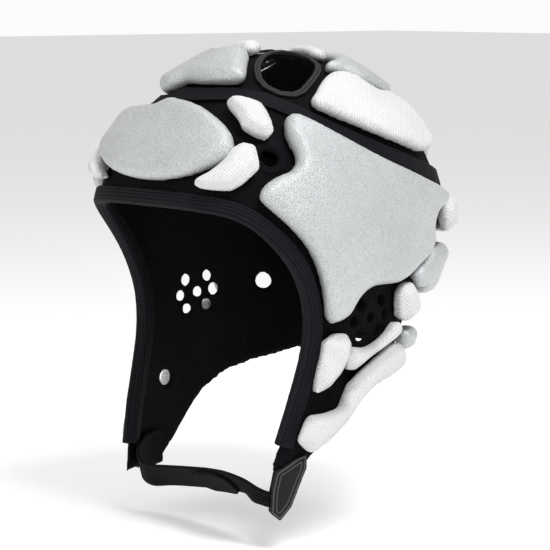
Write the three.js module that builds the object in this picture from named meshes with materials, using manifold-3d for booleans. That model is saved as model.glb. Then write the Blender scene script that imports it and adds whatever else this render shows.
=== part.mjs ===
import * as THREE from 'three';
import { mergeVertices } from 'three/addons/utils/BufferGeometryUtils.js';
import Module from 'manifold-3d';

const wasm = await Module();
wasm.setup();
const { Manifold, Mesh } = wasm;

// Driving sizes in millimetres
const shellWall = 3;
const seamGap = 0.3;
const seatGap = 0.45;
const padGap = 0.8;
const padThick = 10;
const crownPadThick = 8;
const headHalf = 75;
const headFront = 92;
const headRear = 105;
const domeRise = 88;
const neckDrop = 163;
const padStep = 7.5;
const underStep = 11;
const topStep = 15;
const bandHalf = 5;
const bandThick = 1.3;
const trimWide = 4;
const trimThick = 1.4;
const bindingWide = 7;
const bindingThick = 1.3;
const holeRadius = 3.2;
const eyeletRadius = 4.5;
const faceStep = 11;
const ventStep = 8;
const strapWide = 20;
const strapThick = 1.8;
const strapReach = 62;
const strapFront = 54;
const strapDrop = 231;
const patchThick = 2.4;
const tabThick = 1.5;

// Centre of the head form, one dome height below the outer crown
const centre = new THREE.Vector3(0, 0, shellWall - domeRise);

// Plan sections of the outer shell face from the widest level down to the neck
const sections = [
  { down: 0, half: 1, front: 1, rear: 1, frontPower: 3.8, rearPower: 2.15 },
  { down: 0.16, half: 1.013, front: 0.99, rear: 0.886, frontPower: 3.5, rearPower: 2.2 },
  { down: 0.325, half: 1, front: 0.935, rear: 0.676, frontPower: 3.1, rearPower: 2.2 },
  { down: 0.51, half: 0.98, front: 0.935, rear: 0.495, frontPower: 2.8, rearPower: 2.2 },
  { down: 0.675, half: 0.98, front: 0.945, rear: 0.4, frontPower: 2.6, rearPower: 2.2 },
  { down: 1, half: 0.96, front: 0.957, rear: 0.362, frontPower: 2.5, rearPower: 2.2 },
];
const domePower = 1.74;
const browPower = 1.86;
const crownPower = 2.05;

function sectionValue(down, key) {
  const t = Math.min(Math.max(down, 0), 1);
  let k = 0;
  while (k < sections.length - 2 && sections[k + 1].down < t) {
    k += 1;
  }
  const slope = (j) => {
    if (j === 0) {
      return 0;
    }
    const a = sections[j - 1];
    const b = sections[Math.min(j + 1, sections.length - 1)];
    return (b[key] - a[key]) / (b.down - a.down);
  };
  const from = sections[k];
  const to = sections[k + 1];
  const span = to.down - from.down;
  const s = (t - from.down) / span;
  const s2 = s * s;
  const s3 = s2 * s;
  return (2 * s3 - 3 * s2 + 1) * from[key] + (s3 - 2 * s2 + s) * span * slope(k)
    + (3 * s2 - 2 * s3) * to[key] + (s3 - s2) * span * slope(k + 1);
}

// Positive outside the head form, negative inside
function formValue(p) {
  if (p.z >= centre.z + domeRise) {
    return 1;
  }
  const rise = Math.min(Math.max((p.z - centre.z) / domeRise, 0), 1);
  const down = (centre.z - p.z) / neckDrop;
  const roundOff = (power) => Math.max(Math.pow(Math.max(1 - Math.pow(rise, power), 0), 1 / power), 1e-5);
  const shrink = roundOff(domePower);
  const front = p.y < 0;
  const half = headHalf * sectionValue(down, 'half') * shrink;
  const deep = front
    ? headFront * sectionValue(down, 'front') * roundOff(browPower)
    : headRear * sectionValue(down, 'rear') * shrink;
  const power = sectionValue(down, front ? 'frontPower' : 'rearPower') * shrink + crownPower * (1 - shrink);
  return Math.pow(Math.abs(p.x) / half, power) + Math.pow(Math.abs(p.y) / deep, power) - 1;
}

function direction(around, up) {
  const a = THREE.MathUtils.degToRad(around);
  const e = THREE.MathUtils.degToRad(up);
  return new THREE.Vector3(Math.sin(a) * Math.cos(e), -Math.cos(a) * Math.cos(e), Math.sin(e));
}

function surfaceHit(dir) {
  let low = 20;
  let high = 260;
  for (let k = 0; k < 30; k += 1) {
    const mid = (low + high) / 2;
    if (formValue(centre.clone().addScaledVector(dir, mid)) < 0) {
      low = mid;
    } else {
      high = mid;
    }
  }
  return centre.clone().addScaledVector(dir, (low + high) / 2);
}

function smoothStep(t) {
  const s = Math.min(Math.max(t, 0), 1);
  return s * s * (3 - 2 * s);
}

// The cap lies unevenly: its crown is turned and dips at the right front, its right cheek hangs lower and further forward
const crownTurn = 12;
const hangDown = 6;
const hangForward = 5;
const frontDip = 6;
function lay(around, up) {
  const turn = ((around % 360) + 360) % 360;
  const low = smoothStep((-43 - up) / 12);
  const back = smoothStep((turn - 130) / 80);
  const cheek = 1 - 0.55 * smoothStep((turn - 285) / 25);
  const face = 1 - smoothStep((turn - 325) / 30);
  const forward = smoothStep((turn - 280) / 35) * face;
  const twist = crownTurn * smoothStep((up - 8) / 46);
  const rightFront = smoothStep((turn - 240) / 60) * (1 - smoothStep((turn - 340) / 45));
  const dip = frontDip * rightFront * smoothStep((up - 22) / 24) * (1 - smoothStep((up - 62) / 18));
  return [turn - twist + hangForward * low * forward, up - dip - hangDown * low * back * cheek * face];
}

function skinNormal(dir) {
  const side = Math.abs(dir.z) > 0.99 ? new THREE.Vector3(1, 0, 0) : new THREE.Vector3(0, 0, 1);
  const east = new THREE.Vector3().crossVectors(side, dir).normalize();
  const north = new THREE.Vector3().crossVectors(dir, east);
  const nudge = 0.012;
  const near = (axis, step) => surfaceHit(dir.clone().addScaledVector(axis, step).normalize());
  const du = near(east, nudge).sub(near(east, -nudge));
  const dv = near(north, nudge).sub(near(north, -nudge));
  return du.cross(dv).normalize();
}

function skinPoint(dir, out = 0) {
  const p = surfaceHit(dir);
  return out === 0 ? p : p.addScaledVector(skinNormal(dir), out);
}

function shellPoint(around, up, out = 0) {
  return skinPoint(direction(...lay(around, up)), out);
}

// Stations along a line on the skin, each able to place points beside the line
function skinStations(dirs, closed) {
  const spots = dirs.map((dir) => surfaceHit(dir));
  const n = dirs.length;
  return spots.map((p, i) => {
    const before = spots[closed ? (i + n - 1) % n : Math.max(i - 1, 0)];
    const after = spots[closed ? (i + 1) % n : Math.min(i + 1, n - 1)];
    const along = after.clone().sub(before).normalize();
    const beside = new THREE.Vector3().crossVectors(along, skinNormal(dirs[i])).normalize();
    return (across, out) => {
      const dir = p.clone().addScaledVector(beside, across).sub(centre).normalize();
      return skinPoint(dir, out);
    };
  });
}

// Flat chart about one direction, in millimetres at the head radius
const chartRadius = 95;
function makeChart(around, up) {
  const axis = direction(around, up);
  const a = THREE.MathUtils.degToRad(around);
  const east = new THREE.Vector3(Math.cos(a), Math.sin(a), 0);
  const north = new THREE.Vector3().crossVectors(axis, east);
  return {
    flat(turn, level) {
      const d = direction(turn, level);
      const reach = chartRadius / d.dot(axis);
      return new THREE.Vector2(d.dot(east) * reach, d.dot(north) * reach);
    },
    angles(p) {
      const d = axis.clone().multiplyScalar(chartRadius);
      d.addScaledVector(east, p.x).addScaledVector(north, p.y).normalize();
      const level = THREE.MathUtils.radToDeg(Math.asin(THREE.MathUtils.clamp(d.z, -1, 1)));
      return [THREE.MathUtils.radToDeg(Math.atan2(d.x, -d.y)), level];
    },
  };
}

function outlineMiddle(outline) {
  const sum = new THREE.Vector3();
  outline.forEach(([around, up]) => sum.add(direction(around, up)));
  sum.normalize();
  const up = THREE.MathUtils.radToDeg(Math.asin(sum.z));
  return [THREE.MathUtils.radToDeg(Math.atan2(sum.x, -sum.y)), up];
}

// Closed smooth loop through the outline points, cut into nearly equal steps
function flatLoop(chart, outline, step) {
  const knots = outline.map(([around, up]) => chart.flat(around, up));
  if (THREE.ShapeUtils.area(knots) < 0) {
    knots.reverse();
  }
  const curve = new THREE.CatmullRomCurve3(knots.map((p) => new THREE.Vector3(p.x, p.y, 0)), true, 'centripetal');
  curve.arcLengthDivisions = 400;
  const count = Math.max(10, Math.round(curve.getLength() / step));
  return curve.getSpacedPoints(count).slice(0, count).map((p) => new THREE.Vector2(p.x, p.y));
}

function insideLoop(loop, p) {
  let inside = false;
  for (let i = 0, j = loop.length - 1; i < loop.length; j = i, i += 1) {
    const a = loop[i];
    const b = loop[j];
    if ((a.y > p.y) !== (b.y > p.y) && p.x < ((b.x - a.x) * (p.y - a.y)) / (b.y - a.y) + a.x) {
      inside = !inside;
    }
  }
  return inside;
}

function segmentDistance(p, a, b) {
  const ab = b.clone().sub(a);
  const t = THREE.MathUtils.clamp(p.clone().sub(a).dot(ab) / ab.lengthSq(), 0, 1);
  return p.distanceTo(a.clone().addScaledVector(ab, t));
}

// Moves a loop inward, less where the piece is narrow
function insetLoop(loop, inset) {
  const n = loop.length;
  return loop.map((p, i) => {
    const along = loop[(i + 1) % n].clone().sub(loop[(i + n - 1) % n]).normalize();
    const inward = new THREE.Vector2(-along.y, along.x);
    let room = 60;
    for (let k = 2; k < n - 1; k += 1) {
      const a = loop[(i + k) % n];
      const away = a.clone().sub(p);
      if (away.dot(inward) > 0) {
        room = Math.min(room, away.lengthSq() / (2 * away.dot(inward)));
      }
    }
    const step = inset > 0 ? Math.min(inset, 0.55 * room) : inset;
    return p.clone().addScaledVector(inward, step);
  });
}

function delaunay(points) {
  const n = points.length;
  const far = 5000;
  const all = points.concat([new THREE.Vector2(-far, -far), new THREE.Vector2(far, -far), new THREE.Vector2(0, far)]);
  let faces = [[n, n + 1, n + 2]];
  const within = ([i, j, k], p) => {
    const [a, b, c] = [all[i], all[j], all[k]].map((q) => q.clone().sub(p));
    return a.lengthSq() * (b.x * c.y - c.x * b.y) - b.lengthSq() * (a.x * c.y - c.x * a.y)
      + c.lengthSq() * (a.x * b.y - b.x * a.y) > 0;
  };
  for (let i = 0; i < n; i += 1) {
    const open = faces.filter((face) => within(face, all[i]));
    const edges = new Map();
    open.forEach(([a, b, c]) => [[a, b], [b, c], [c, a]].forEach(([s, t]) => {
      if (!edges.delete(`${t},${s}`)) {
        edges.set(`${s},${t}`, [s, t]);
      }
    }));
    const shut = new Set(open);
    faces = faces.filter((face) => !shut.has(face));
    edges.forEach(([s, t]) => faces.push([s, t, i]));
  }
  return faces.filter((face) => face.every((k) => k < n));
}

// Fills a loop with inner points on a staggered grid; triangles run counterclockwise
function fillLoop(loop, step) {
  const box = new THREE.Box2().setFromPoints(loop);
  const inner = [];
  let row = 0;
  for (let y = box.min.y + step * 0.45; y < box.max.y; y += step * 0.87) {
    for (let x = box.min.x + step * (row % 2 ? 0.1 : 0.6); x < box.max.x; x += step) {
      const p = new THREE.Vector2(x + 0.013 * y, y + 0.011 * x);
      const edge = loop.map((a, i) => segmentDistance(p, a, loop[(i + 1) % loop.length]));
      if (insideLoop(loop, p) && Math.min(...edge) > step * 0.5) {
        inner.push(p);
      }
    }
    row += 1;
  }
  const points = loop.concat(inner);
  const faces = delaunay(points).filter((face) => {
    const mid = new THREE.Vector2();
    face.forEach((k) => mid.addScaledVector(points[k], 1 / 3));
    return insideLoop(loop, mid);
  });
  return { inner, faces };
}

function meshGeometry(positions, faces) {
  const geometry = new THREE.BufferGeometry();
  const flat = [];
  positions.forEach((p) => flat.push(p.x, p.y, p.z));
  geometry.setAttribute('position', new THREE.Float32BufferAttribute(flat, 3));
  geometry.setIndex(faces.flat());
  return geometry;
}

// Rounded foam pad: side rows of height share and inset share, then a filled face above and below
const padRows = [
  { rise: 0, inset: 0.06 },
  { rise: 0.6, inset: 0 },
  { rise: 1, inset: 0.4 },
];
function padGeometry(outline, thick, step = padStep) {
  const chart = makeChart(...outlineMiddle(outline));
  const loop = flatLoop(chart, outline, step);
  const positions = [];
  const faces = [];
  const place = (p, out) => {
    positions.push(shellPoint(...chart.angles(p), out));
    return positions.length - 1;
  };
  const rings = padRows.map(({ rise, inset }) => {
    const ring = insetLoop(loop, inset * thick);
    return { ring, index: ring.map((p) => place(p, padGap + rise * thick)) };
  });
  const n = loop.length;
  for (let k = 0; k + 1 < rings.length; k += 1) {
    for (let i = 0; i < n; i += 1) {
      const j = (i + 1) % n;
      const [a, b] = [rings[k].index[i], rings[k].index[j]];
      const [c, d] = [rings[k + 1].index[j], rings[k + 1].index[i]];
      faces.push([a, b, c], [a, c, d]);
    }
  }
  const addFace = ({ ring, index }, out, flip) => {
    const fill = fillLoop(ring, flip ? underStep : topStep);
    const all = index.concat(fill.inner.map((p) => place(p, out)));
    fill.faces.forEach(([a, b, c]) => faces.push(flip ? [all[a], all[c], all[b]] : [all[a], all[b], all[c]]));
  };
  addFace(rings[0], padGap, true);
  addFace(rings[rings.length - 1], padGap + thick, false);
  return meshGeometry(positions, faces);
}

// Joins rings of equal length into a tube, closed on itself or capped by the flat section
function loftGeometry(rings, section) {
  const closed = !section;
  const n = rings[0].length;
  const positions = rings.flat();
  const faces = [];
  const last = closed ? rings.length : rings.length - 1;
  for (let k = 0; k < last; k += 1) {
    const next = (k + 1) % rings.length;
    for (let i = 0; i < n; i += 1) {
      const j = (i + 1) % n;
      const [a, b, c, d] = [k * n + i, k * n + j, next * n + j, next * n + i];
      faces.push([a, b, c], [a, c, d]);
    }
  }
  if (!closed) {
    const base = (rings.length - 1) * n;
    THREE.ShapeUtils.triangulateShape(section, []).forEach(([a, b, c]) => {
      faces.push([a, c, b], [base + a, base + b, base + c]);
    });
  }
  const geometry = meshGeometry(positions, faces);
  return signedVolume(geometry) < 0 ? meshGeometry(positions, faces.map(([a, b, c]) => [a, c, b])) : geometry;
}

function signedVolume(geometry) {
  const spots = geometry.attributes.position;
  const order = geometry.index.array;
  const corner = (k) => new THREE.Vector3().fromBufferAttribute(spots, order[k]);
  let volume = 0;
  for (let k = 0; k < order.length; k += 3) {
    volume += corner(k).dot(corner(k + 1).cross(corner(k + 2))) / 6;
  }
  return volume;
}

function toSolid(geometry) {
  const plain = geometry.clone();
  plain.deleteAttribute('normal');
  plain.deleteAttribute('uv');
  const merged = mergeVertices(plain, 1e-4);
  return new Manifold(new Mesh({
    numProp: 3,
    vertProperties: new Float32Array(merged.attributes.position.array),
    triVerts: new Uint32Array(merged.index.array),
  }));
}

function toGeometry(solid) {
  const mesh = solid.getMesh();
  const geometry = new THREE.BufferGeometry();
  geometry.setAttribute('position', new THREE.BufferAttribute(new Float32Array(mesh.vertProperties), 3));
  geometry.setIndex(new THREE.BufferAttribute(new Uint32Array(mesh.triVerts), 1));
  return geometry;
}

// Columns lie closer together round the temple corners, where the form turns fastest
const halfColumns = [0, 11, 21, 29, 35, 41, 48, 57, 67, 78, 90, 102, 114, 125, 136, 150, 165, 180];
const columns = halfColumns.concat(halfColumns.slice(1, -1).reverse().map((a) => 360 - a));
const levels = [83, 75, 67, 59, 51, 43, 35, 27, 19, 11, 3, -5, -12, -19, -26, -33, -40, -46, -52, -58, -66];

function domeSkin(out) {
  const positions = [skinPoint(direction(0, 90), out)];
  levels.forEach((up) => columns.forEach((around) => positions.push(skinPoint(direction(around, up), out))));
  return positions;
}

function domeGeometry(out, depth) {
  const outer = domeSkin(out);
  const inner = domeSkin(out - depth);
  const n = columns.length;
  const shift = outer.length;
  const faces = [];
  for (let i = 0; i < n; i += 1) {
    const j = (i + 1) % n;
    faces.push([0, 1 + i, 1 + j], [shift, shift + 1 + j, shift + 1 + i]);
    for (let k = 0; k + 1 < levels.length; k += 1) {
      const [a, b] = [1 + k * n + i, 1 + k * n + j];
      const [c, d] = [a + n, b + n];
      faces.push([a, c, d], [a, d, b], [shift + a, shift + d, shift + c], [shift + a, shift + b, shift + d]);
    }
    const [a, b] = [1 + (levels.length - 1) * n + i, 1 + (levels.length - 1) * n + j];
    faces.push([a, shift + a, shift + b], [a, shift + b, b]);
  }
  return meshGeometry(outer.concat(inner), faces);
}

// Everything seen from the centre above one closed line round the head
const beyond = 330;
function aboveLine(upAt, count) {
  const rings = [1, 0.75, 0.5, 0.25];
  const positions = [centre.clone(), centre.clone().add(new THREE.Vector3(0, 0, beyond))];
  rings.forEach((share) => {
    for (let i = 0; i < count; i += 1) {
      const around = (360 * i) / count;
      const up = upAt(around) * share + 90 * (1 - share);
      positions.push(centre.clone().addScaledVector(direction(...lay(around, up)), beyond));
    }
  });
  const faces = [];
  for (let i = 0; i < count; i += 1) {
    const j = (i + 1) % count;
    faces.push([0, 2 + j, 2 + i]);
    for (let k = 0; k + 1 < rings.length; k += 1) {
      const [a, b] = [2 + k * count + i, 2 + k * count + j];
      faces.push([a, b, b + count], [a, b + count, a + count]);
    }
    const top = 2 + (rings.length - 1) * count;
    faces.push([top + i, top + j, 1]);
  }
  return toSolid(meshGeometry(positions, faces));
}

// Steps along one closed smooth outline, as angles and as laid directions
function outlineAngles(outline, step) {
  const chart = makeChart(...outlineMiddle(outline));
  return flatLoop(chart, outline, step).map((p) => chart.angles(p));
}

function outlineDirections(outline, step) {
  return outlineAngles(outline, step).map((angles) => direction(...lay(...angles)));
}

// Everything seen from the centre through one closed outline
function throughOutline(outline, step) {
  const chart = makeChart(...outlineMiddle(outline));
  const loop = flatLoop(chart, outline, step);
  const positions = [centre.clone()];
  outlineDirections(outline, step).forEach((d) => positions.push(centre.clone().addScaledVector(d, beyond)));
  const faces = loop.map((p, i) => [0, 1 + ((i + 1) % loop.length), 1 + i]);
  THREE.ShapeUtils.triangulateShape(loop, []).forEach(([a, b, c]) => faces.push([1 + a, 1 + b, 1 + c]));
  return toSolid(meshGeometry(positions, faces));
}

function lineAt(table) {
  return (around) => {
    const turn = ((around % 360) + 360) % 360;
    let k = 0;
    while (k < table.length - 2 && table[k + 1][0] < turn) {
      k += 1;
    }
    const point = (j) => {
      const n = table.length - 1;
      const wrap = ((j % n) + n) % n;
      return [table[wrap][0] + 360 * Math.floor(j / n), table[wrap][1]];
    };
    const [p0, p1, p2, p3] = [point(k - 1), point(k), point(k + 1), point(k + 2)];
    const t = (turn - p1[0]) / (p2[0] - p1[0]);
    const m1 = ((p2[1] - p0[1]) / (p2[0] - p0[0])) * (p2[0] - p1[0]);
    const m2 = ((p3[1] - p1[1]) / (p3[0] - p1[0])) * (p2[0] - p1[0]);
    return (2 * t ** 3 - 3 * t ** 2 + 1) * p1[1] + (t ** 3 - 2 * t ** 2 + t) * m1
      + (3 * t ** 2 - 2 * t ** 3) * p2[1] + (t ** 3 - t ** 2) * m2;
  };
}

function mirrored(table) {
  const back = table.slice(0, -1).reverse().map(([around, up]) => [360 - around, up]);
  return table.concat(back);
}

function otherSide(outline) {
  return outline.map(([around, up]) => [-around, up]);
}

// Degrees around from the front, then degrees up from the centre
const seamLine = mirrored([[0, 48], [29.4, 48], [41.4, 47.6], [51.2, 46.8], [58.9, 45.6], [67.4, 43.6], [76.7, 41], [88.4, 37.2],
  [101.2, 31.4], [113.7, 25], [126.6, 18.6], [138.5, 13.4], [150, 9.6], [165, 6.8], [180, 6]]);
const lowerEdge = mirrored([[0, -58], [30, -57.4], [44, -57.6], [48, -58.2], [54, -58.7], [61, -58.7], [68, -58],
  [76, -56.6], [84, -54.8], [92, -53], [102, -51.8], [115, -51.6], [130, -52.4], [150, -52.8], [180, -53]]);

const faceHalf = [[0, 5.8], [12, 5.7], [24, 5], [32, 4], [38.6, 1.8], [45, -2.8], [51.2, -9.4], [56, -16.6],
  [59, -23.8], [60.7, -31], [60.6, -37.5], [58.9, -43], [55.8, -48], [52.1, -52.4], [48.6, -55.8], [46, -58]];
const faceMouth = [[42, -62], [38, -70]];

const forehead = [[0, 42.6], [13, 42], [25, 38.8], [33, 33.4], [37, 27.8], [37, 23.2], [33, 19.2], [25, 16], [13, 13.8],
  [0, 13.2], [-13, 13.8], [-25, 16], [-33, 19.2], [-37, 23.2], [-37, 27.8], [-33, 33.4], [-25, 38.8],
  [-13, 42]];
const browUpper = [[36.7, 41.2], [40.6, 42.4], [46.1, 42.3], [50.6, 40.8], [51.9, 36.5], [51.8, 30.6], [49.5, 28.2],
  [45.7, 28.8], [42.2, 30.4], [41.1, 34.8]];
const browLower = [[23.6, 11.6], [28.2, 14.4], [33.7, 18.8], [37.4, 23.2], [40.6, 24.7], [43.2, 24.2], [43.8, 22.4],
  [43.4, 20.6], [43.7, 18], [39.8, 14], [35.3, 10.6], [31.1, 10.4]];
const temple = [[60.5, 38], [62.4, 38.8], [65.9, 38.6], [73.1, 36.6], [88.3, 30.6], [103.7, 22.2], [121.4, 13.2],
  [134.5, 7.4], [138, 4.8], [136.6, 2.2], [130.5, 0.8], [126.2, -2], [125, -6.2], [125.6, -10.7],
  [121.4, -15.5], [114, -19.5], [108.5, -22.6], [101.8, -24.8], [95.2, -25], [88.1, -25.2], [82, -27],
  [78, -30], [75.4, -32.8], [71.1, -33.8], [66.8, -33.6], [65.4, -26.4], [62.9, -17.6], [59.1, -9.7],
  [53, -1.6], [46.8, 4.2], [43, 7.6], [42.3, 9], [44.2, 11.4], [47.6, 14.2], [52, 16], [56.1, 19],
  [58.1, 22.6], [57.8, 26.4], [57.2, 30], [58.4, 34]];
const cheek = [[65.6, -38.2], [68.2, -37.4], [72, -37], [75.2, -38.6], [76.6, -41.2], [75.6, -44], [73.2, -46.2],
  [69.6, -47.8], [65.2, -48.8], [62.4, -49], [61.2, -48.2], [62.7, -45.4], [64.4, -42]];
const ear = [[77.6, -41.8], [83, -42.9], [89.1, -42.8], [95.5, -41.2], [101.2, -38.9], [103.4, -37.2],
  [106, -38.4], [106.6, -40.3], [102.4, -41.9], [95.1, -43.7], [88.1, -45.4], [82.1, -47], [77.6, -47.4],
  [76, -46.4], [76.6, -44.2]];
const jaw = [[107, -43.4], [103, -43], [96, -44.6], [88.3, -46.9], [80.6, -48.7], [76, -50.4], [74.6, -52.2],
  [70, -53.4], [65.6, -52.4], [60.9, -51.7], [57.6, -52.2], [56.2, -53.6], [55.2, -55], [55, -56.2],
  [57.2, -57], [61, -57.3], [66, -56.9], [73.4, -55.6], [79.6, -53.9], [88.7, -51.7], [99.5, -50.3],
  [106, -50.2], [110.6, -49.4], [111, -46.4]];
const crownFront = [[0, 52.8], [20, 52.8], [36, 52.6], [42, 54], [40, 59], [36.5, 65], [31, 70.4], [20, 73.6], [9, 73],
  [0, 70.4], [-9, 73], [-20, 73.6], [-31, 70.4], [-36.5, 65], [-40, 59], [-42, 54], [-36, 52.6],
  [-20, 52.8]];
const crownTip = [[0, 76], [20, 75.8], [25, 79], [20, 82], [0, 83.4], [-20, 82], [-25, 79], [-20, 75.8]];
const crownKnot = [[180, 78.4], [152, 77.8], [140, 75.8], [144, 72.8], [160, 71.4], [180, 71], [200, 71.4], [216, 72.8],
  [220, 75.8], [208, 77.8]];
const crownRear = [[180, 67.4], [150, 68], [130, 68.8], [119, 68.4], [115, 67], [121, 65.2], [130, 62.4], [135, 58.2],
  [141, 54.8], [147, 53.2], [152, 49.6], [156, 45.4], [164, 43.4], [180, 42.8], [196, 43.4], [204, 45.4],
  [208, 49.6], [213, 53.2], [219, 54.8], [225, 58.2], [230, 62.4], [239, 65.2], [245, 67], [241, 68.4],
  [230, 68.8], [210, 68]];
const crownSide = [[109.5, 63.2], [119, 63.8], [129, 61.6], [135.6, 57.2], [138.5, 52.6], [142.6, 49.2], [148.5, 48.2],
  [153.7, 45.4], [156.6, 40.8], [161.9, 38.6], [165.2, 35.4], [163.5, 28.4], [157.1, 23.4], [148.3, 21],
  [142.1, 21.2], [135.2, 22.4], [125.7, 27], [113.6, 33.6], [101, 39.8], [87.8, 44.6], [80.1, 46.4],
  [78.8, 47.8], [85.8, 53.4], [96, 59.4]];
const backCentre = [[180, 33], [173, 32.6], [169.4, 29.6], [168.6, 20], [169.4, 13.6], [173, 11.2], [180, 10.8],
  [187, 11.2], [190.6, 13.6], [191.4, 20], [190.6, 29.6], [187, 32.6]];
const backUpper = [[141.6, 4.4], [150, 2], [162, -0.6], [174, -2.4], [176, -4.6], [174.6, -7.6], [163, -8.2],
  [151, -7.6], [142.6, -6.6], [139.6, -4.4], [138.6, 0]];
const backMiddle = [[126.6, -12.6], [131, -13.6], [139, -12.2], [150, -12.4], [164, -13], [174, -13.4], [176, -17],
  [175.4, -25], [172, -29], [160, -30.4], [146, -30.4], [136.6, -28.2], [130, -25.2], [124.4, -26], [120, -27.2],
  [116.6, -24.6], [113, -21.6], [117.4, -19.4], [122.6, -16.2]];
const backSide = [[106.4, -26.4], [108.6, -25.2], [112, -25.4], [116.6, -29.4], [118.8, -32], [118, -35.6], [113, -37.4],
  [107.4, -37], [105.4, -33], [104.6, -28.6]];
const backLower = [[108.4, -40.2], [113, -40.6], [119.6, -40], [122.6, -41.4], [121, -45], [117, -46.8], [112.8, -44.4],
  [109.6, -42.4]];

// The near top of each vent runs beside the middle strip of the crown
const vent = [[88, 83.4], [52, 79.4], [46.4, 72], [48, 65], [51.6, 58.2], [56, 54.4], [62, 52.6], [69, 53],
  [75.6, 55.8], [83, 60.4], [94, 65.4], [107, 69.4], [118, 72.8], [124, 76.6], [120, 80.6]];

const earHoles = [[93, -36], [86.6, -31.7], [98.8, -31.1], [83.1, -36.6], [102.2, -35.3], [86.6, -40.6], [98, -39.9]];
const eyelets = [[49.2, 22.6], [130.6, -5.4], [126.6, -33.4]];
const rightCheekEyelet = [-73, -49.8];

function holeSolid([around, up], radius, sides) {
  const start = shellPoint(around, up, -9);
  const end = shellPoint(around, up, 6);
  const axis = end.clone().sub(start);
  const geometry = new THREE.CylinderGeometry(radius, radius, axis.length(), sides);
  const turnTo = new THREE.Quaternion().setFromUnitVectors(new THREE.Vector3(0, 1, 0), axis.clone().normalize());
  geometry.applyQuaternion(turnTo);
  geometry.translate(...start.clone().add(end).multiplyScalar(0.5).toArray());
  return toSolid(geometry);
}

// Shell panels
const dome = toSolid(domeGeometry(0, shellWall));
const seamAt = lineAt(seamLine);
const halfSeam = THREE.MathUtils.radToDeg(seamGap / 2 / chartRadius);
const crownCut = aboveLine((around) => seamAt(around) + halfSeam, 60);
const seamCut = aboveLine((around) => seamAt(around) - halfSeam, 60);
const edgeCut = aboveLine(lineAt(lowerEdge), 72);
const faceLoop = faceHalf.concat(faceMouth, otherSide(faceMouth).reverse(), otherSide(faceHalf.slice(1)).reverse());
const faceCut = throughOutline(faceLoop, faceStep);

let crownSolid = Manifold.intersection(dome, crownCut);
[vent, otherSide(vent)].forEach((outline) => {
  crownSolid = Manifold.difference(crownSolid, throughOutline(outline, ventStep));
});
let bodySolid = Manifold.intersection(dome, edgeCut);
bodySolid = Manifold.difference(bodySolid, seamCut);
bodySolid = Manifold.difference(bodySolid, faceCut);
[1, -1].forEach((side) => {
  earHoles.forEach(([around, up]) => {
    bodySolid = Manifold.difference(bodySolid, holeSolid([side * around, up], holeRadius, 8));
  });
  eyelets.forEach(([around, up]) => {
    bodySolid = Manifold.difference(bodySolid, holeSolid([side * around, up], eyeletRadius, 12));
  });
});
bodySolid = Manifold.difference(bodySolid, holeSolid(rightCheekEyelet, eyeletRadius, 12));

// Tape over the seam between crown and body
function bandGeometry() {
  const count = 48;
  const dirs = [];
  for (let i = 0; i < count; i += 1) {
    const around = (360 * i) / count;
    dirs.push(direction(...lay(around, seamAt(around))));
  }
  return loftGeometry(skinStations(dirs, true).map((spot) => [
    spot(bandHalf, padGap), spot(bandHalf, padGap + bandThick),
    spot(-bandHalf, padGap + bandThick), spot(-bandHalf, padGap),
  ]));
}

// Raised facing round each vent, from the cut edge outward
function trimGeometry(outline) {
  return loftGeometry(skinStations(outlineDirections(outline, ventStep), true).map((spot) => [
    spot(0, padGap), spot(trimWide, padGap),
    spot(trimWide, padGap + trimThick), spot(0, padGap + trimThick),
  ]));
}

// Folded binding that wraps the edge of the face opening from cheek to cheek
const foldGap = 1.15;
const bindingSection = [
  [bindingWide, foldGap], [bindingWide, foldGap + bindingThick], [0, foldGap + 1.3 * bindingThick],
  [-1.7 * bindingThick, foldGap - bindingThick * 0.2], [-1.7 * bindingThick, -shellWall - foldGap],
  [0, -shellWall - foldGap - 1.3 * bindingThick], [bindingWide, -shellWall - foldGap - bindingThick],
  [bindingWide, -shellWall - foldGap], [-foldGap, -shellWall - foldGap], [-foldGap, foldGap],
];
function bindingGeometry() {
  const angles = outlineAngles(faceLoop, faceStep);
  const end = faceHalf[faceHalf.length - 1][1] + 0.2;
  const first = angles.findIndex(([, up], i) => up > end && angles[(i + angles.length - 1) % angles.length][1] <= end);
  const run = angles.slice(first).concat(angles.slice(0, first)).filter(([, up]) => up > end);
  const dirs = run.map((pair) => direction(...lay(...pair)));
  return loftGeometry(
    skinStations(dirs, false).map((spot) => bindingSection.map(([inward, out]) => spot(inward, out))),
    bindingSection.map(([x, y]) => new THREE.Vector2(x, y)),
  );
}

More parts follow.
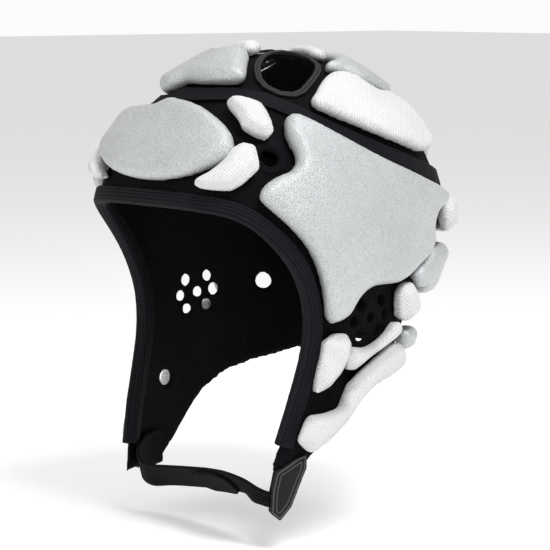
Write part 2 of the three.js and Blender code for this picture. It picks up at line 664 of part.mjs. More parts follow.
// Chin strap, free part in shares of its reach sideways, its distance forward and its drop below the crown
const strapFree = [
  { side: -0.66, ahead: 1, down: 1.018 },
  { side: -0.4, ahead: 0.975, down: 1.012 },
  { side: -0.05, ahead: 1, down: 1 },
  { side: 0.3, ahead: 1.03, down: 0.99 },
  { side: 0.62, ahead: 1.08, down: 0.988 },
];
const strapInside = -shellWall - padGap - strapThick;
const strapPath = [
  ...[[-68, -56, 0], [-61, -56.6, 0.3], [-54, -57.2, 1.8], [-47, -57.6, 3.2]].map(([around, up, clear]) =>
    shellPoint(around, up, strapInside - clear)),
  ...strapFree.map(({ side, ahead, down }) =>
    new THREE.Vector3(side * strapReach, -ahead * strapFront, -down * strapDrop)),
  ...[[46, -60.8], [50, -61], [54.5, -60.8]].map(([around, up]) => shellPoint(around, up, -strapThick - 1)),
];
function strapGeometry(count, from, to, wide, low, high) {
  const curve = new THREE.CatmullRomCurve3(strapPath, false, 'centripetal');
  const rings = [];
  for (let i = 0; i <= count; i += 1) {
    const t = from + ((to - from) * i) / count;
    const p = curve.getPointAt(t);
    const along = curve.getTangentAt(t);
    const free = smoothStep((t - 0.22) / 0.15) * (1 - smoothStep((t - 0.74) / 0.12));
    const lean = new THREE.Vector3(0, -0.75 * free, 1 - 0.34 * free);
    const outward = new THREE.Vector3().crossVectors(lean, along).normalize();
    if (outward.y > 0) {
      outward.negate();
    }
    const across = new THREE.Vector3().crossVectors(along, outward).normalize();
    const gather = 1 - 0.62 * smoothStep((t - 0.76) / 0.12);
    const spot = (w, h) => p.clone().addScaledVector(across, w * wide * gather).addScaledVector(outward, h);
    rings.push([spot(-0.5, low), spot(0.5, low), spot(0.5, high), spot(-0.5, high)]);
  }
  const flat = [[-1, -1], [1, -1], [1, 1], [-1, 1]].map(([x, y]) => new THREE.Vector2(x, y));
  return loftGeometry(rings, flat);
}

// Closing tab, an outer and an inner layer that hang below the left cheek
const tab = [[47.4, -58], [51, -57.6], [56, -57.2], [60.4, -57.4], [60.8, -58.2], [58.6, -59.6], [56.3, -60.8],
  [54.3, -61.9], [52.1, -62.5], [50.3, -62.7], [47.6, -62.6], [46, -61.4], [46.6, -59.6]];
function sheetGeometry(outline, low, high) {
  const chart = makeChart(...outlineMiddle(outline));
  const loop = flatLoop(chart, outline, 5);
  const fill = fillLoop(loop, 9);
  const points = loop.concat(fill.inner);
  const positions = [low, high].flatMap((out) => points.map((p) => shellPoint(...chart.angles(p), out)));
  const n = points.length;
  const faces = [];
  fill.faces.forEach(([a, b, c]) => faces.push([a, c, b], [n + a, n + b, n + c]));
  loop.forEach((p, i) => {
    const j = (i + 1) % loop.length;
    faces.push([i, j, n + j], [i, n + j, n + i]);
  });
  return meshGeometry(positions, faces);
}

// Colours of the cloths
const silver = { color: 0xb4b8ba, roughness: 0.62, metalness: 0 };
const white = { color: 0xdcdedd, roughness: 0.75, metalness: 0 };
const black = { color: 0x16171b, roughness: 0.8, metalness: 0 };
const trimBlack = { color: 0x1c1d22, roughness: 0.55, metalness: 0 };
const webbing = { color: 0x121316, roughness: 0.85, metalness: 0 };
const leather = { color: 0x1e1f24, roughness: 0.4, metalness: 0 };

const cap = new THREE.Group();
cap.name = 'scrum_cap';
function addPiece(name, geometry, look) {
  const mesh = new THREE.Mesh(geometry, new THREE.MeshStandardMaterial(look));
  mesh.name = name;
  cap.add(mesh);
}

addPiece('crown_panel', toGeometry(crownSolid), black);
addPiece('body_panel', toGeometry(bodySolid), black);
addPiece('crown_band', bandGeometry(), trimBlack);
addPiece('face_binding', bindingGeometry(), trimBlack);

const middlePads = [
  ['forehead_pad', forehead, padThick, silver],
  ['crown_front_pad', crownFront, padThick, silver],
  ['crown_tip_pad', crownTip, crownPadThick, white],
  ['crown_knot_pad', crownKnot, crownPadThick * 0.7, white],
  ['crown_rear_pad', crownRear, crownPadThick, silver],
  ['back_centre_pad', backCentre, padThick, silver],
];
middlePads.forEach(([name, outline, thick, look]) => addPiece(name, padGeometry(outline, thick), look));

const sidePads = [
  ['brow_upper_pad', browUpper, padThick, white, 6],
  ['brow_lower_pad', browLower, padThick, white, 6],
  ['temple_pad', temple, padThick, silver],
  ['cheek_pad', cheek, padThick, white],
  ['ear_pad', ear, padThick * 0.8, white, 4.5],
  ['jaw_pad', jaw, padThick, white],
  ['crown_side_pad', crownSide, crownPadThick, white],
  ['back_upper_pad', backUpper, padThick, white],
  ['back_middle_pad', backMiddle, padThick, silver],
  ['back_side_pad', backSide, padThick, white],
  ['back_lower_pad', backLower, padThick, silver],
];
sidePads.forEach(([name, outline, thick, look, step]) => {
  addPiece(`${name}_left`, padGeometry(outline, thick, step), look);
  addPiece(`${name}_right`, padGeometry(otherSide(outline), thick, step), look);
});

addPiece('vent_facing_left', trimGeometry(vent), leather);
addPiece('vent_facing_right', trimGeometry(otherSide(vent)), leather);
addPiece('chin_strap', strapGeometry(24, 0, 1, strapWide, 0, strapThick), webbing);
addPiece('strap_patch', strapGeometry(6, 0.54, 0.74, strapWide * 0.92,
  strapThick + seamGap, strapThick + seamGap + patchThick), webbing);
addPiece('tab_outer', sheetGeometry(tab, seatGap, seatGap + tabThick), leather);
addPiece('tab_inner', sheetGeometry(tab, -shellWall - seatGap - tabThick, -shellWall - seatGap), leather);

export default cap;
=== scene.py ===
import math

import bmesh
import bpy
import numpy as np
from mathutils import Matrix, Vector
from mathutils.kdtree import KDTree


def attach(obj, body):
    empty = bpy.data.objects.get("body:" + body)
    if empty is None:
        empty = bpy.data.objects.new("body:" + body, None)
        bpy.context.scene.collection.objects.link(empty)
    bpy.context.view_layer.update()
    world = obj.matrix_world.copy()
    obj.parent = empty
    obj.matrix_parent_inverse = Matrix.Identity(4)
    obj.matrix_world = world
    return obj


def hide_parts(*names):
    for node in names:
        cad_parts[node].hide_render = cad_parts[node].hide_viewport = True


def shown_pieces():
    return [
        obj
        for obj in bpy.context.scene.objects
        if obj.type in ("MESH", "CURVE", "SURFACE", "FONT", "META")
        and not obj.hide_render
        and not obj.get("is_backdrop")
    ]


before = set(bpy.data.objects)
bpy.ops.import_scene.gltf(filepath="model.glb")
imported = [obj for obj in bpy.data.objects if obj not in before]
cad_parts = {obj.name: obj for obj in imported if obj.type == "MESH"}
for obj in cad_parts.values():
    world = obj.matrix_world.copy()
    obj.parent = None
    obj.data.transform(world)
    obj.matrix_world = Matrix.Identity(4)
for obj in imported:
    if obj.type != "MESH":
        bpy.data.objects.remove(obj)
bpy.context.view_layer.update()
headCentre = Vector((0, 0, -0.085))  # middle of the head form
headRadius = 0.085
print("frame loaded:", len(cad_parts), "nodes")


# Shader maths written as expressions on a wrapped socket
class Wire:
    def __init__(self, tree, socket=None):
        self.tree = tree
        self.socket = socket

    def make(self, kind, settings, values, out=0):
        node = self.tree.nodes.new(kind)
        for key, value in settings.items():
            setattr(node, key, value)
        for key, value in values.items():
            if isinstance(value, Wire):
                self.tree.links.new(value.socket, node.inputs[key])
            else:
                node.inputs[key].default_value = value
        return Wire(self.tree, node.outputs[out])

    def math(self, operation, first, second=0.0):
        return self.make("ShaderNodeMath", {"operation": operation}, {0: first, 1: second})

    def __add__(self, other):
        return self.math("ADD", self, other)

    def __radd__(self, other):
        return self.math("ADD", other, self)

    def __sub__(self, other):
        return self.math("SUBTRACT", self, other)

    def __rsub__(self, other):
        return self.math("SUBTRACT", other, self)

    def __mul__(self, other):
        return self.math("MULTIPLY", self, other)

    def __rmul__(self, other):
        return self.math("MULTIPLY", other, self)

    def ease(self, low, high):
        values = {"Value": self, "From Min": low, "From Max": high}
        return self.make("ShaderNodeMapRange", {"interpolation_type": "SMOOTHSTEP"}, values)

    def line(self, place, half):
        core = half * 0.3  # full strength this close to the middle
        return 1 - self.math("ABSOLUTE", self - place).ease(core, half)

    def blendColours(self, first, second):
        values = {0: self, 6: (*first, 1), 7: (*second, 1)}
        return self.make("ShaderNodeMix", {"data_type": "RGBA"}, values, 2)


def startMaterial(name):
    material = bpy.data.materials.new(name)
    material.use_nodes = True
    tree = material.node_tree
    return material, tree.nodes["Principled BSDF"], Wire(tree)


# A wave of scale 1 repeats after this length of the weave map
wavePeriod = 0.314


def clothWeave(wire, pitch, turn, distort):
    uv = wire.make("ShaderNodeUVMap", {"uv_map": "weave"}, {})
    turned = wire.make("ShaderNodeMapping", {}, {"Vector": uv, "Rotation": (0, 0, turn)})
    waves = []
    for direction in ("X", "Y"):
        settings = {"wave_type": "BANDS", "bands_direction": direction}
        values = {"Vector": turned, "Scale": wavePeriod / pitch, "Distortion": distort}
        values.update({"Detail": 1.0, "Detail Scale": 2.0})
        waves.append(wire.make("ShaderNodeTexWave", settings, values, 1))
    return waves[0] * waves[1]


def grainOf(wire, scale, detail=2, span=(0.35, 0.65)):
    place = wire.make("ShaderNodeTexCoord", {}, {}, 3)
    values = {"Vector": place, "Scale": scale, "Detail": detail}
    return wire.make("ShaderNodeTexNoise", {}, values).ease(*span)


def edgeOf(wire):
    return wire.make("ShaderNodeAttribute", {"attribute_name": "edgeDistance"}, {}, 2)


def linkShader(wire, shader, colour, roughness, height, depth):
    bump = wire.make("ShaderNodeBump", {}, {"Strength": 1.0, "Distance": depth, "Height": height})
    wire.tree.links.new(bump.socket, shader.inputs["Normal"])
    wire.tree.links.new(colour.socket, shader.inputs["Base Color"])
    wire.tree.links.new(roughness.socket, shader.inputs["Roughness"])


# Knit over the pads: what differs between the two, then what they share
padCloth = {
    "silver": {
        "dark": (0.34, 0.352, 0.358), "light": (0.74, 0.755, 0.765), "pitch": 0.0010,
        "weave": 0.16, "heather": 0.46, "rough": 0.36, "satin": 0.35,
    },
    "white": {
        "dark": (0.5, 0.508, 0.508), "light": (0.88, 0.89, 0.885), "pitch": 0.0013,
        "weave": 0.42, "heather": 0.26, "rough": 0.52, "satin": 0.0,
    },
}
padShading = {
    # The seam strength and span give painted shade: the knit is darkened within 6 mm of the pad's base edge,
    # where the pad meets the shell.
    "turn": 0.785, "distort": 1.2, "base": 0.14, "cloudy": 0.1, "seam": 0.6, "seamSpan": (0.0002, 0.006),
    "heatherGrain": {"scale": 1700, "span": (0.3, 0.7)},
    "cloudyGrain": {"scale": 28, "detail": 3, "span": (0.3, 0.72)},
    "shareSpan": (-0.1, 1.0), "roughGrain": 0.15, "weaveHeight": 0.6, "heatherHeight": 0.4,
    "relief": 0.00025, "sheen": 0.1, "sheenRough": 0.45,
}


def makePadCloth(name):
    s = {**padCloth[name], **padShading}
    material, shader, wire = startMaterial(f"{name}Knit")
    weave = clothWeave(wire, s["pitch"], s["turn"], s["distort"])
    heather = grainOf(wire, **s["heatherGrain"])
    cloudy = grainOf(wire, **s["cloudyGrain"])
    # Painted shade: darker knit close to the pad's base edge, in the crease against the shell
    seam = 1 - edgeOf(wire).ease(*s["seamSpan"])
    bright = weave * s["weave"] + heather * s["heather"] + cloudy * s["cloudy"]
    share = bright - seam * s["seam"] + s["base"]
    colour = share.ease(*s["shareSpan"]).blendColours(s["dark"], s["light"])
    rough = s["rough"] + heather * s["roughGrain"]
    height = weave * s["weaveHeight"] + heather * s["heatherHeight"]
    linkShader(wire, shader, colour, rough, height, s["relief"])
    shader.inputs["Sheen Weight"].default_value = s["sheen"]
    shader.inputs["Sheen Roughness"].default_value = s["sheenRough"]
    shader.inputs["Metallic"].default_value = s["satin"]
    return material


shellCloth = {
    "dark": (0.0022, 0.0023, 0.003), "light": (0.009, 0.0096, 0.0125), "pitch": 0.0013, "turn": 0.3,
    "distort": 0.8, "weave": 0.4, "grain": 0.25, "grainScale": 1200, "cloudy": 0.2,
    "cloudyGrain": {"scale": 35, "detail": 3, "span": (0.3, 0.7)},
    "stitch": 0.3, "stitchAt": 0.0042, "stitchHalf": 0.0006, "shareSpan": (0.0, 1.1),
    "rough": 0.72, "roughGrain": 0.2, "weaveHeight": 0.6, "stitchHeight": 0.8, "relief": 0.0003,
    "shine": 0.08,
}


def makeShellCloth():
    s = shellCloth
    material, shader, wire = startMaterial("shellKnit")
    weave = clothWeave(wire, s["pitch"], s["turn"], s["distort"])
    grain = grainOf(wire, s["grainScale"])
    cloudy = grainOf(wire, **s["cloudyGrain"])
    stitch = edgeOf(wire).line(s["stitchAt"], s["stitchHalf"])
    share = weave * s["weave"] + grain * s["grain"] + cloudy * s["cloudy"] + stitch * s["stitch"]
    colour = share.ease(*s["shareSpan"]).blendColours(s["dark"], s["light"])
    rough = s["rough"] + grain * s["roughGrain"]
    height = weave * s["weaveHeight"] + stitch * s["stitchHeight"]
    linkShader(wire, shader, colour, rough, height, s["relief"])
    shader.inputs["Specular IOR Level"].default_value = s["shine"]
    return material


tapeCloth = {
    "dark": (0.0024, 0.0026, 0.0036), "light": (0.013, 0.0142, 0.0185), "pitch": 0.0008, "turn": 0.785,
    "distort": 0.5, "ridges": (0.0009, 0.0026, 0.0043), "ridgeHalf": 0.0007, "ridge": 0.45,
    "grain": 0.25, "grainScale": 1500, "weave": 0.3, "shareSpan": (0.0, 1.2), "rough": 0.62,
    "roughGrain": 0.2, "weaveHeight": 0.3, "relief": 0.0005, "shine": 0.13,
}


def makeTapeCloth():
    s = tapeCloth
    material, shader, wire = startMaterial("bindingTape")
    edge = edgeOf(wire)
    first, second, third = (edge.line(place, s["ridgeHalf"]) for place in s["ridges"])
    ridge = first + second + third
    grain = grainOf(wire, s["grainScale"])
    weave = clothWeave(wire, s["pitch"], s["turn"], s["distort"])
    share = ridge * s["ridge"] + grain * s["grain"] + weave * s["weave"]
    colour = share.ease(*s["shareSpan"]).blendColours(s["dark"], s["light"])
    rough = s["rough"] + grain * s["roughGrain"]
    linkShader(wire, shader, colour, rough, ridge + weave * s["weaveHeight"], s["relief"])
    shader.inputs["Specular IOR Level"].default_value = s["shine"]
    return material


# Strengths of weave and grain are given for plain webbing, then for full pile
strapCloth = {
    "dark": (0.0022, 0.0024, 0.003), "light": (0.014, 0.0153, 0.0188), "pitch": 0.0016, "turn": 0.785,
    "distort": 0.3, "strapGrain": {"scale": 2200, "detail": 3, "span": (0.4, 0.62)},
    "weave": (0.5, 0.1), "grain": (0.25, 0.75), "threadAt": 0.0025, "threadHalf": 0.0006, "thread": 0.6,
    "shareSpan": (0.0, 1.2), "rough": 0.75, "roughGrain": 0.2, "relief": 0.0005, "shine": 0.1,
}


def makeStrapCloth(name, fuzz):
    s = strapCloth
    material, shader, wire = startMaterial(name)
    weave = clothWeave(wire, s["pitch"], s["turn"], s["distort"])
    grain = grainOf(wire, **s["strapGrain"])
    stitch = edgeOf(wire).line(s["threadAt"], s["threadHalf"])
    weaveShare, grainShare = (plain + (pile - plain) * fuzz for plain, pile in (s["weave"], s["grain"]))
    share = weave * weaveShare + grain * grainShare + stitch * s["thread"]
    colour = share.ease(*s["shareSpan"]).blendColours(s["dark"], s["light"])
    rough = s["rough"] + grain * s["roughGrain"]
    linkShader(wire, shader, colour, rough, weave * (1 - fuzz) + grain * fuzz + stitch, s["relief"])
    shader.inputs["Specular IOR Level"].default_value = s["shine"]
    return material


closureCloth = {
    # The edge line entry is a painted highlight along the rim; the stitch line is thread
    "dark": (0.003, 0.0032, 0.0042), "light": (0.075, 0.079, 0.087), "edgeHighlight": (0.0012, 0.0006),
    "stitchLine": (0.0032, 0.00045), "grain": 0.06, "grainScale": 900, "rough": 0.5, "roughGrain": 0.2,
    "grainHeight": 0.4, "relief": 0.0004, "shine": 0.3,
}


def makeClosureCloth(name, brightness):
    s = closureCloth
    material, shader, wire = startMaterial(name)
    edge = edgeOf(wire)
    # Painted highlight: a light line 1.2 mm in from the edge, beside the real stitch line further in; both
    # also sink as grooves in the bump
    stitchAndEdgeHighlight = edge.line(*s["edgeHighlight"]) + edge.line(*s["stitchLine"])
    grain = grainOf(wire, s["grainScale"])
    share = stitchAndEdgeHighlight * brightness + grain * s["grain"]
    colour = share.ease(0.0, 1.0).blendColours(s["dark"], s["light"])
    rough = s["rough"] + grain * s["roughGrain"]
    linkShader(wire, shader, colour, rough, grain * s["grainHeight"] - stitchAndEdgeHighlight, s["relief"])
    shader.inputs["Specular IOR Level"].default_value = s["shine"]
    return material


materials = {
    "silver": makePadCloth("silver"),
    "white": makePadCloth("white"),
    "shell": makeShellCloth(),
    "tape": makeTapeCloth(),
    "strap": makeStrapCloth("strapWebbing", 0.0),
    "patch": makeStrapCloth("patchPile", 1.0),
    "closure": makeClosureCloth("tabCloth", 0.9),
    "facing": makeClosureCloth("ventFacing", 0.35),
}
print("materials made:", len(materials))


# Working copies of the solids, each with its own mesh
def selectOnly(piece):
    bpy.ops.object.select_all(action="DESELECT")
    piece.hide_set(False)
    piece.select_set(True)
    bpy.context.view_layer.objects.active = piece


def copyNode(node, name):
    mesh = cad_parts[node].data.copy()
    piece = bpy.data.objects.new(name, mesh)
    bpy.context.scene.collection.objects.link(piece)
    mesh.materials.clear()
    work = bmesh.new()
    work.from_mesh(mesh)
    bmesh.ops.remove_doubles(work, verts=work.verts, dist=1e-6)
    work.to_mesh(mesh)
    work.free()
    for attribute in [a.name for a in mesh.attributes if a.name.startswith("UV")]:
        mesh.attributes.remove(mesh.attributes[attribute])
    return piece


def addAndApply(piece, kind, **settings):
    selectOnly(piece)
    modifier = piece.modifiers.new(kind.title(), kind)
    for key, value in settings.items():
        setattr(modifier, key, value)
    bpy.ops.object.modifier_apply(modifier=modifier.name)


def remesh(piece, voxel, rounding):
    addAndApply(piece, "REMESH", mode="VOXEL", voxel_size=voxel, use_smooth_shade=True)
    addAndApply(piece, "SMOOTH", factor=0.5, iterations=rounding)


def pointsOf(piece):
    points = np.empty(len(piece.data.vertices) * 3)
    piece.data.vertices.foreach_get("co", points)
    return points.reshape(-1, 3)


def setPoints(piece, points):
    piece.data.vertices.foreach_set("co", points.ravel())
    piece.data.update()


def normalsOf(piece):
    normals = np.empty(len(piece.data.vertices) * 3)
    piece.data.vertices.foreach_get("normal", normals)
    return normals.reshape(-1, 3)


# How far each point faces away from the head: 1 outward, -1 inward
def outwardShare(piece):
    directions = pointsOf(piece) - np.array(headCentre)
    directions /= np.linalg.norm(directions, axis=1, keepdims=True)
    return (directions * normalsOf(piece)).sum(axis=1)


# Points along the edges of the solid that fold by more than sharp, in radians
def sharpPoints(source, sharp, spacing, baseOnly=False):
    facesHead = 0.6  # least share of a face's normal that points at the head
    work = bmesh.new()
    work.from_mesh(source.data)
    spots = []
    for edge in work.edges:
        if len(edge.link_faces) != 2 or edge.calc_face_angle(0) < sharp:
            continue
        a, b = edge.verts[0].co, edge.verts[1].co
        inward = (headCentre - a).normalized()
        if baseOnly and max(face.normal.dot(inward) for face in edge.link_faces) < facesHead:
            continue
        steps = max(1, int((b - a).length / spacing))
        for k in range(steps + 1):
            spots.append(a.lerp(b, k / steps))
    work.free()
    return spots


def storeEdgeDistance(piece, spots, most=0.02):
    tree = KDTree(len(spots))
    for i, spot in enumerate(spots):
        tree.insert(spot, i)
    tree.balance()
    values = [min(tree.find(v.co)[2], most) for v in piece.data.vertices]
    attribute = piece.data.attributes.new("edgeDistance", "FLOAT", "POINT")
    attribute.data.foreach_set("value", values)


# Weave coordinates: round the head for the sides, flat for the crown
def storeWeave(piece, crown):
    layer = piece.data.uv_layers.new(name="weave")
    points = pointsOf(piece) - np.array(headCentre)
    if crown:
        flat = points[:, :2]
    else:
        turn = np.arctan2(points[:, 0], -points[:, 1])
        crossesBack = np.ptp(turn) > 5 and points[:, 1].mean() > 0
        if crossesBack:
            turn = np.where(turn < 0, turn + 2 * np.pi, turn)
        flat = np.stack([turn * headRadius, points[:, 2]], axis=1)
    corners = np.empty(len(piece.data.loops), dtype=int)
    piece.data.loops.foreach_get("vertex_index", corners)
    layer.data.foreach_set("uv", flat[corners].astype(np.float32).ravel())


def finishPiece(piece, material, slot, *nodes, crown=False):
    storeWeave(piece, crown)
    piece.data.materials.append(materials[material])
    for polygon in piece.data.polygons:
        polygon.use_smooth = True
    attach(piece, "root")
    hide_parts(*nodes)


# Padded pieces: rounded, swollen by pressure over a held base, then smoothed
padSettings = {
    "voxel": 0.0019, "smallVoxel": 0.62, "smallSize": 0.04, "rounding": 2, "fullness": 0.0009,
    "frames": 12, "quality": 4, "pressure": 4.0, "heldBelow": -0.3, "cap": 0.0009, "finish": 2,
    "seamSharp": 0.7, "seamSpacing": 0.0012,
}


def bothSides(*names):
    return [f"{name}_{side}" for name in names for side in ("left", "right")]


silverPads = ["forehead_pad", "crown_front_pad", "crown_rear_pad", "back_centre_pad"]
silverPads += bothSides("temple_pad", "back_middle_pad", "back_lower_pad")
whitePads = ["crown_tip_pad", "crown_knot_pad"]
whitePads += bothSides("brow_upper_pad", "brow_lower_pad", "cheek_pad", "ear_pad", "jaw_pad")
whitePads += bothSides("crown_side_pad", "back_upper_pad", "back_side_pad")


# Gives back at the sides what the smoothing took
def fillOut(pad):
    sides = 1 - np.clip(np.abs(outwardShare(pad)), 0, 1)
    setPoints(pad, pointsOf(pad) + normalsOf(pad) * (padSettings["fullness"] * sides)[:, None])


def swellPad(pad):
    s = padSettings
    base = pad.vertex_groups.new(name="base")
    held = [int(i) for i in np.nonzero(outwardShare(pad) < s["heldBelow"])[0]]
    base.add(held, 1.0, "REPLACE")
    before = pointsOf(pad)
    selectOnly(pad)
    cloth = pad.modifiers.new("Cloth", "CLOTH")
    cloth.settings.use_pressure = True
    cloth.settings.uniform_pressure_force = s["pressure"]
    cloth.settings.effector_weights.gravity = 0
    cloth.settings.vertex_group_mass = "base"
    cloth.settings.quality = s["quality"]
    cloth.point_cache.frame_start = 1
    cloth.point_cache.frame_end = s["frames"]
    for number in range(1, s["frames"] + 1):
        bpy.context.scene.frame_set(number)
    bpy.ops.object.modifier_apply(modifier="Cloth")
    moved = pointsOf(pad) - before
    length = np.linalg.norm(moved, axis=1, keepdims=True)
    setPoints(pad, before + moved * np.minimum(1, s["cap"] / np.maximum(length, 1e-9)))
    bpy.context.scene.frame_set(1)
    pad.vertex_groups.clear()


def makePad(node, look):
    s = padSettings
    pad = copyNode(node, node.replace("_pad", "_cushion"))
    baseLine = sharpPoints(pad, s["seamSharp"], s["seamSpacing"], baseOnly=True)
    small = max(pad.dimensions) < s["smallSize"] or node.startswith("ear")
    remesh(pad, s["voxel"] * (s["smallVoxel"] if small else 1), s["rounding"])
    fillOut(pad)
    swellPad(pad)
    addAndApply(pad, "SUBSURF", levels=1, render_levels=1)
    addAndApply(pad, "SMOOTH", factor=0.5, iterations=s["finish"])
    storeEdgeDistance(pad, baseLine)
    slot = "silver_knit" if look == "silver" else "white_knit"
    finishPiece(pad, look, slot, node, crown=node.startswith("crown"))


for padNode in silverPads:
    makePad(padNode, "silver")
for padNode in whitePads:
    makePad(padNode, "white")
print("pads made:", len(silverPads) + len(whitePads))


# Shell panels with moulded rings round the eyelets and the ear holes
shellSettings = {
    "voxel": 0.0016, "rounding": 7, "rimRounding": 10, "rimWide": 0.0035, "cutSharp": 1.1,
    "cutSpacing": 0.0015, "outerFace": 0.4,
    "eyeletRing": {"radius": 0.0070, "width": 0.0034, "height": 0.0016},
    "earRing": {"radius": 0.0046, "width": 0.0017, "height": 0.0008},
    "dimple": {"radius": 0.0, "width": 0.004, "height": -0.0022},
}
eyelets = [
    (0.0604, -0.0577, -0.0502), (0.0652, 0.0559, -0.0931), (0.0614, 0.0456, -0.1355),
    (-0.0636, -0.0496, -0.0515), (-0.0652, 0.0559, -0.0931), (-0.0614, 0.0456, -0.1355),
    (-0.0727, -0.0227, -0.1874),
]
earHoles = [
    (0.0749, 0.0039, -0.1395), (0.0753, -0.0045, -0.1316), (0.0748, 0.0116, -0.1307),
    (0.0748, -0.0091, -0.141), (0.0737, 0.0159, -0.1384), (0.0744, -0.0044, -0.1489),
    (0.0739, 0.0104, -0.1474),
]
earHoles += [(-x, y, z) for x, y, z in earHoles]
dimples = [(0.0724, -0.0258, -0.1806)]


def raiseRings(panel):
    points = pointsOf(panel)
    normals = normalsOf(panel)
    facing = outwardShare(panel) > shellSettings["outerFace"]
    for spots, shape in ((eyelets, "eyeletRing"), (earHoles, "earRing"), (dimples, "dimple")):
        ring = shellSettings[shape]
        for spot in spots:
            away = np.linalg.norm(points - np.array(spot), axis=1)
            lift = np.clip(1 - np.abs(away - ring["radius"]) / ring["width"], 0, 1)
            points += normals * (ring["height"] * lift * lift * (3 - 2 * lift) * facing)[:, None]
    setPoints(panel, points)


# Extra smoothing along the cut edges alone
def smoothRim(panel):
    s = shellSettings
    values = np.empty(len(panel.data.vertices))
    panel.data.attributes["edgeDistance"].data.foreach_get("value", values)
    rim = panel.vertex_groups.new(name="rim")
    rim.add([int(i) for i in np.nonzero(values < s["rimWide"])[0]], 1.0, "REPLACE")
    addAndApply(panel, "SMOOTH", factor=0.5, iterations=s["rimRounding"], vertex_group="rim")
    panel.vertex_groups.clear()


def makePanel(node, name, crown):
    s = shellSettings
    panel = copyNode(node, name)
    cutLine = sharpPoints(panel, s["cutSharp"], s["cutSpacing"])
    remesh(panel, s["voxel"], s["rounding"])
    if not crown:
        raiseRings(panel)
    storeEdgeDistance(panel, cutLine)
    smoothRim(panel)
    finishPiece(panel, "shell", "shell_knit", node, crown=crown)


makePanel("body_panel", "body_cloth", False)
makePanel("crown_panel", "crown_cloth", True)
print("panels made")


# Tapes, facings and tab keep their thin sections
thinSettings = {"rounding": 6, "edgeSharp": 0.9, "edgeSpacing": 0.0008}
thinSlots = {"tape": "binding_tape", "facing": "closure_cloth", "closure": "closure_cloth"}
thinPieces = [
    {"node": "crown_band", "name": "crown_tape", "look": "tape", "voxel": 0.00062},
    {"node": "face_binding", "name": "face_tape", "look": "tape", "voxel": 0.00072},
    {"node": "vent_facing_left", "name": "vent_edge_left", "look": "facing", "voxel": 0.0006},
    {"node": "vent_facing_right", "name": "vent_edge_right", "look": "facing", "voxel": 0.0006},
    {"node": "tab_outer", "name": "tab_front", "look": "closure", "voxel": 0.0005},
    {"node": "tab_inner", "name": "tab_back", "look": "closure", "voxel": 0.0005},
]


def makeThin(row):
    s = thinSettings
    piece = copyNode(row["node"], row["name"])
    edges = sharpPoints(piece, s["edgeSharp"], s["edgeSpacing"])
    remesh(piece, row["voxel"], s["rounding"])
    storeEdgeDistance(piece, edges)
    look = row["look"]
    finishPiece(piece, look, thinSlots[look], row["node"], crown=look == "facing")


for row in thinPieces:
    makeThin(row)


# Chin strap: a flat band that turns from upright at the cheeks to leaning under the chin.
# Starts and lengths of its changes are shares of its run from the right cheek to the tab.
strapSettings = {
    "wide": 0.020, "thick": 0.0020, "rings": 120, "steps": 9, "roundSide": 0.6, "tangentStep": 0.004,
    "lean": (0.75, 0.34), "leanIn": (0.1, 0.24), "leanOut": (0.74, 0.2),
    "gather": 0.6, "gatherIn": (0.76, 0.14),
    "patchFrom": 0.53, "patchTo": 0.75, "patchThick": 0.0022, "patchWide": 0.9, "patchGap": 0.0001,
    "patchEnd": 0.55, "patchEndRise": 9,
}
# Middle line of the strap's inner face, in millimetres
strapLine = [
    (-65.1, -29.6, -225.8), (-62.7, -39.3, -226.8), (-58.3, -48.1, -228.5), (-53.0, -54.6, -231.9),
    (-45.6, -56.5, -234.9), (-36.3, -54.1, -234.9), (-26.3, -52.9, -233.9), (-16.3, -53, -232.7),
    (-6.4, -53.8, -231.4), (3.6, -54.4, -230.2), (13.5, -55.1, -229.1), (23.5, -56.3, -228.3),
    (33.4, -57.9, -227.8), (43.2, -58.5, -229.6), (52.4, -58.0, -232.6), (60.1, -54.2, -234),
    (63.5, -46.2, -230.2),
]


def smoothRise(t, start, length):
    share = min(max((t - start) / length, 0.0), 1.0)
    return share * share * (3 - 2 * share)


def pathPoint(t):
    points = np.array(strapLine) / 1000
    last = len(points) - 1
    place = min(max(t, 0), 1) * last
    k = min(int(place), last - 1)
    s = place - k
    p0, p1, p2, p3 = (points[min(max(j, 0), last)] for j in (k - 1, k, k + 1, k + 2))
    second = (2 * p0 - 5 * p1 + 4 * p2 - p3) * s**2
    third = (3 * p1 - p0 - 3 * p2 + p3) * s**3
    return 0.5 * (2 * p1 + (p2 - p0) * s + second + third)


def strapSection(width, low, high):
    steps, roundSide = strapSettings["steps"], strapSettings["roundSide"]
    middle, half = (low + high) / 2, (high - low) / 2
    section = [(-width / 2 + width * k / (steps - 1), middle - half) for k in range(steps)]
    section += [(width / 2 + half * roundSide, middle)]
    section += [(width / 2 - width * k / (steps - 1), middle + half) for k in range(steps)]
    section += [(-width / 2 - half * roundSide, middle)]
    return section


def strapRing(t, width, low, high):
    s = strapSettings
    point = pathPoint(t)
    along = pathPoint(min(t + s["tangentStep"], 1)) - pathPoint(max(t - s["tangentStep"], 0))
    along /= np.linalg.norm(along)
    free = smoothRise(t, *s["leanIn"]) * (1 - smoothRise(t, *s["leanOut"]))
    forward, drop = s["lean"]
    outward = np.cross(np.array((0, -forward * free, 1 - drop * free)), along)
    outward /= np.linalg.norm(outward)
    if outward[1] > 0:
        outward = -outward
    across = np.cross(along, outward)
    return [point + across * a + outward * b for a, b in strapSection(width, low, high)]


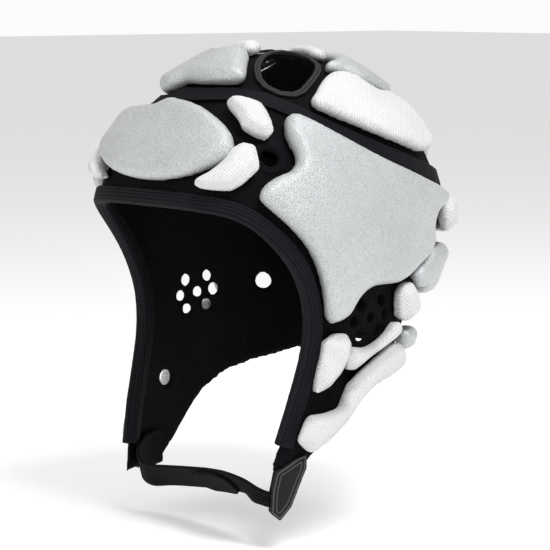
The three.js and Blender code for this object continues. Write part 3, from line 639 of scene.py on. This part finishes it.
def sweepStrap(name, fromT, toT, wide, low, high, rounded):
    s = strapSettings
    rings = []
    count = int(s["rings"] * (toT - fromT)) + 2
    for i in range(count):
        t = fromT + (toT - fromT) * i / (count - 1)
        width = wide * (1 - s["gather"] * smoothRise(t, *s["gatherIn"]))
        if rounded:
            width *= min(1, s["patchEnd"] + s["patchEndRise"] * min(t - fromT, toT - t))
        rings.append(strapRing(t, width, low, high))
    size = len(rings[0])
    vertices = [tuple(p) for ring in rings for p in ring]
    faces = [tuple(range(size))[::-1], tuple(range((count - 1) * size, count * size))]
    for i in range(count - 1):
        for j in range(size):
            k = (j + 1) % size
            faces.append((i * size + j, i * size + k, (i + 1) * size + k, (i + 1) * size + j))
    mesh = bpy.data.meshes.new(name)
    mesh.from_pydata(vertices, [], faces)
    piece = bpy.data.objects.new(name, mesh)
    bpy.context.scene.collection.objects.link(piece)
    work = bmesh.new()
    work.from_mesh(mesh)
    bmesh.ops.recalc_face_normals(work, faces=work.faces)
    work.to_mesh(mesh)
    work.free()
    edges = [Vector(ring[k]) for ring in rings for k in (s["steps"], size - 1)]
    addAndApply(piece, "SUBSURF", levels=1, render_levels=1)
    storeEdgeDistance(piece, edges)
    return piece


strap = sweepStrap("chin_webbing", 0, 1, strapSettings["wide"], 0, strapSettings["thick"], False)
finishPiece(strap, "strap", "strap_webbing", "chin_strap")
patchSpan = (strapSettings["patchFrom"], strapSettings["patchTo"])
patchWide = strapSettings["wide"] * strapSettings["patchWide"]
patchLow = strapSettings["thick"] + strapSettings["patchGap"]
patchHigh = patchLow + strapSettings["patchThick"]
patch = sweepStrap("strap_pile", *patchSpan, patchWide, patchLow, patchHigh, True)
finishPiece(patch, "patch", "strap_webbing", "strap_patch")
print("tapes, strap and tab made")

total = sum(len(p.data.loop_triangles) or len(p.data.polygons) * 2 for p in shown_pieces() if p.type == "MESH")
print("about", total, "triangles")


# Studio: pale floor, soft light, camera at the photograph's angle
studio = {
    "floor": -0.262, "floorSize": 24, "floorColour": (0.82, 0.82, 0.82, 1), "floorGlow": 0.34,
    "floorRough": 0.9, "worldLight": 0.46, "worldSeen": 0.97,
    "azimuth": 48.0, "elevation": 7.0, "distance": 1.3, "lens": 150.6, "sensor": 36,
    "target": (0, 0, -0.11), "shiftDown": 0.0126,
}
lamps = [
    {"side": 0.45, "up": 1.05, "back": 0.85, "size": 0.5, "power": 15},
    {"side": -1.2, "up": 0.45, "back": 0.6, "size": 0.7, "power": 3.5},
    {"side": 0.1, "up": 1.4, "back": -0.3, "size": 0.9, "power": 4},
]
whiteLight = (1, 1, 1, 1)


def makeFloor():
    bpy.ops.object.select_all(action="DESELECT")
    bpy.ops.mesh.primitive_plane_add(size=studio["floorSize"], location=(0, 0, studio["floor"]))
    floor = bpy.context.object
    floor.name = "studio_floor"
    pale, shader = startMaterial("paleFloor")[:2]
    shader.inputs["Base Color"].default_value = studio["floorColour"]
    shader.inputs["Emission Color"].default_value = whiteLight
    shader.inputs["Emission Strength"].default_value = studio["floorGlow"]
    shader.inputs["Roughness"].default_value = studio["floorRough"]
    floor.data.materials.append(pale)
    floor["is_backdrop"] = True


# The room lights softly, yet looks nearly white to the camera
def makeRoom():
    world = bpy.data.worlds.new("paleRoom")
    bpy.context.scene.world = world
    world.use_nodes = True
    tree = world.node_tree
    tree.nodes["Background"].inputs["Color"].default_value = whiteLight
    rays = tree.nodes.new("ShaderNodeLightPath")
    strength = tree.nodes.new("ShaderNodeMapRange")
    strength.inputs["To Min"].default_value = studio["worldLight"]
    strength.inputs["To Max"].default_value = studio["worldSeen"]
    tree.links.new(rays.outputs["Is Camera Ray"], strength.inputs["Value"])
    tree.links.new(strength.outputs[0], tree.nodes["Background"].inputs["Strength"])


def makeStudio():
    makeFloor()
    makeRoom()
    turn, rise = math.radians(studio["azimuth"]), math.radians(studio["elevation"])
    back = Vector((math.sin(turn) * math.cos(rise), -math.cos(turn) * math.cos(rise), math.sin(rise)))
    right = Vector((0, 0, 1)).cross(back).normalized()
    up = back.cross(right)
    aim = Vector(studio["target"]) - up * studio["shiftDown"]
    for k, lamp in enumerate(lamps):
        light = bpy.data.lights.new(f"softLight{k}", "AREA")
        light.size = lamp["size"]
        light.energy = lamp["power"]
        holder = bpy.data.objects.new(f"softLight{k}", light)
        holder.location = aim + right * lamp["side"] + up * lamp["up"] + back * lamp["back"]
        holder.rotation_mode = "QUATERNION"
        holder.rotation_quaternion = (aim - holder.location).to_track_quat("-Z", "Y")
        bpy.context.scene.collection.objects.link(holder)
    camera = bpy.data.objects.new("photoCamera", bpy.data.cameras.new("photoCamera"))
    camera.data.lens = studio["lens"]
    camera.data.sensor_width = studio["sensor"]
    camera.location = aim + back * studio["distance"]
    camera.rotation_mode = "QUATERNION"
    camera.rotation_quaternion = (-back).to_track_quat("-Z", "Y")
    bpy.context.scene.collection.objects.link(camera)
    bpy.context.scene.camera = camera


makeStudio()
bpy.context.scene.view_settings.view_transform = "Standard"
print("studio made")
